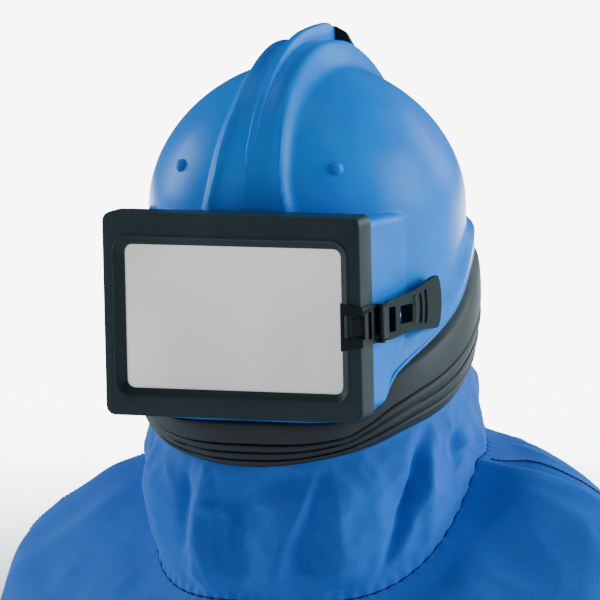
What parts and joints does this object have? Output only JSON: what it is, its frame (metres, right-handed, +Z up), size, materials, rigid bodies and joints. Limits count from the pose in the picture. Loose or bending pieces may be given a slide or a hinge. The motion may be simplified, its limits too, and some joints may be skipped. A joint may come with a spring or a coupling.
{
  "type": "sandblasting hood",
  "caption": "Blasting hood: moulded helmet shell, window in a frame that swings open, lever latch, ribbed neck band, and a cloth collar and shoulder cape.",
  "frame": {"origin": "where the top of the head sits, at the inside of the crown", "axes": "+Z up; the window looks along -Y; +X is the wearer's left"},
  "size_m": [0.6161, 0.373, 0.7159],
  "materials": {
    "blue_moulding": "semi-gloss moulded",
    "black_moulding": "satin moulded",
    "frame_moulding": "satin moulded",
    "pane": "glossy pale film",
    "steel": "bright turned",
    "rubber": "matt moulded",
    "cloth": "coated plain weave"
  },
  "bodies": {
    "helmet": {"helmet_shell": "blue_moulding", "crest_cap": "black_moulding", "hinge_bracket": "black_moulding", "hinge_pin": "steel", "keeper_stud": "steel", "neck_band": "rubber", "collar": "cloth", "cape": "cloth"},
    "window": {"window_frame": "frame_moulding", "lens": "pane", "latch_clip": "black_moulding"},
    "latch": {"latch_lever": "black_moulding"}
  },
  "joints": [
    {"name": "window_hinge", "type": "hinge", "parent": "helmet", "child": "window", "pos_m": [-0.111, -0.12504, -0.18744], "axis": [0, 0.0558, -0.9984], "range_deg": [0, 110]},
    {"name": "latch_hinge", "type": "hinge", "parent": "window", "child": "latch", "pos_m": [0.111, -0.12277, -0.19232], "axis": [0, 0.0558, -0.9984], "range_deg": [0, 110]}
  ]
}
